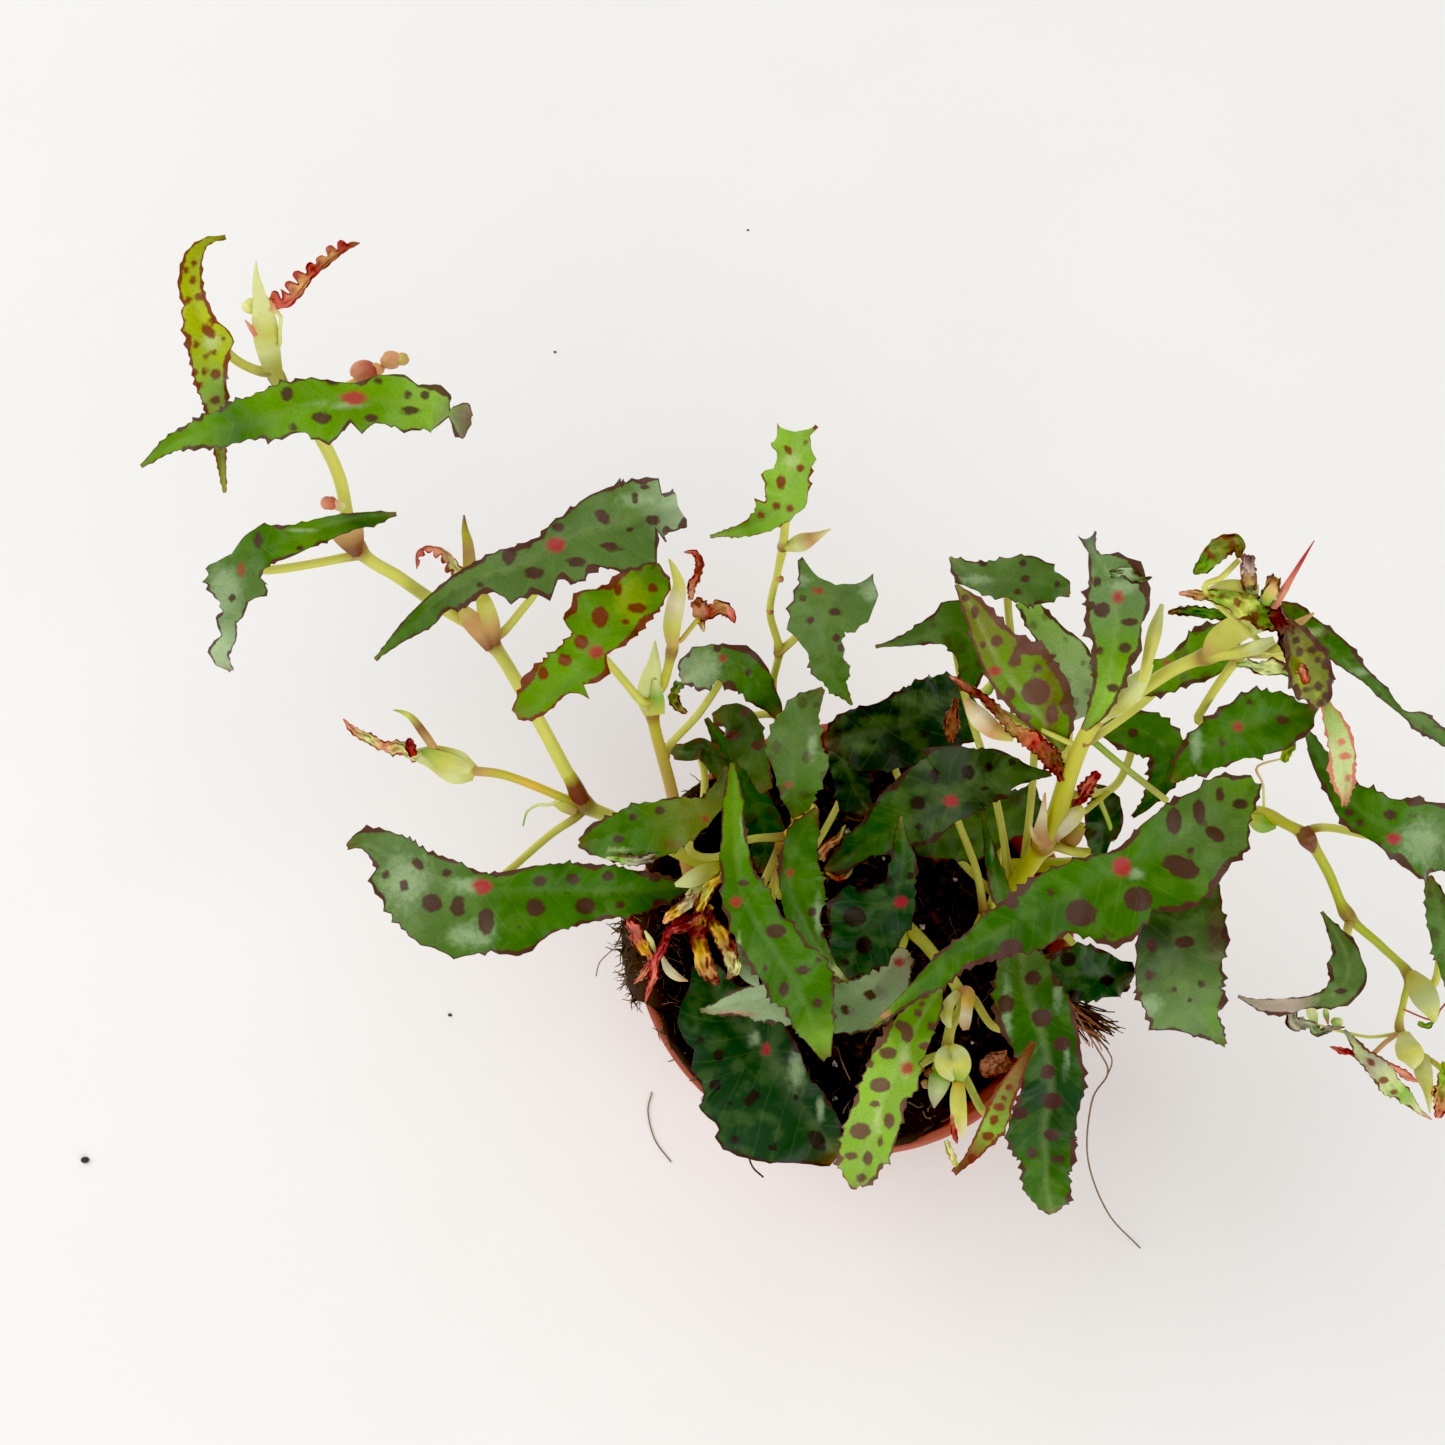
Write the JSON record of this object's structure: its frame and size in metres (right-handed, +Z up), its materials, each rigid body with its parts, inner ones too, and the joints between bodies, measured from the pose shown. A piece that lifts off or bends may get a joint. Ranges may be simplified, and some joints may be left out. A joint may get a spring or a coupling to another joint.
{
  "type": "potted begonia",
  "caption": "Begonia with jointed stems and narrow, waved, maroon-spotted leaves, growing in a thin-walled round nursery pot.",
  "frame": {"origin": "centre of the flat underside of the pot's base, on the surface that the pot stands on", "axes": "+Z up along the pot's axis; -Y towards the viewer, the lower edge of the picture; +X to the viewer's right"},
  "size_m": [0.2279, 0.1349, 0.2191],
  "materials": {
    "pot_plastic": "satin terracotta-coloured plastic",
    "potting_soil": "moist dark peat with fibres",
    "moss_and_roots": "matted moss and old roots",
    "stem_skin": "smooth yellow-green stems with brown joints",
    "leaf_skin": "green blades with maroon spots and margins"
  },
  "bodies": {
    "root": {"pot": "pot_plastic", "soil": "potting_soil", "root_mat": "moss_and_roots", "stem_a": "stem_skin", "stem_b": "stem_skin", "stem_c": "stem_skin", "stem_d": "stem_skin", "stem_e": "stem_skin", "stem_f": "stem_skin", "stem_g": "stem_skin", "stem_h": "stem_skin", "leaf_a1": "leaf_skin", "leaf_a2": "leaf_skin", "leaf_a3": "leaf_skin", "leaf_a4": "leaf_skin", "leaf_a5": "leaf_skin", "leaf_b1": "leaf_skin", "leaf_b2": "leaf_skin", "leaf_b3": "leaf_skin", "leaf_c5": "leaf_skin", "leaf_c1": "leaf_skin", "leaf_c2": "leaf_skin", "leaf_c3": "leaf_skin", "leaf_g2": "leaf_skin", "leaf_d1": "leaf_skin", "leaf_d2": "leaf_skin", "leaf_d3": "leaf_skin", "leaf_d4": "leaf_skin", "leaf_d5": "leaf_skin", "leaf_d6": "leaf_skin", "leaf_d7": "leaf_skin", "leaf_d8": "leaf_skin", "leaf_d9": "leaf_skin", "leaf_d10": "leaf_skin", "leaf_d11": "leaf_skin", "leaf_d12": "leaf_skin", "leaf_d13": "leaf_skin", "leaf_d14": "leaf_skin", "leaf_d15": "leaf_skin", "leaf_d16": "leaf_skin", "leaf_e1": "leaf_skin", "leaf_e2": "leaf_skin", "leaf_e3": "leaf_skin", "leaf_f1": "leaf_skin", "leaf_f2": "leaf_skin", "leaf_f3": "leaf_skin", "leaf_g1": "leaf_skin", "leaf_g3": "leaf_skin", "leaf_g4": "leaf_skin", "leaf_f4": "leaf_skin", "leaf_f5": "leaf_skin", "leaf_g7": "leaf_skin", "leaf_c4": "leaf_skin", "leaf_h1": "leaf_skin", "leaf_h2": "leaf_skin", "leaf_h3": "leaf_skin"}
  },
  "joints": []
}
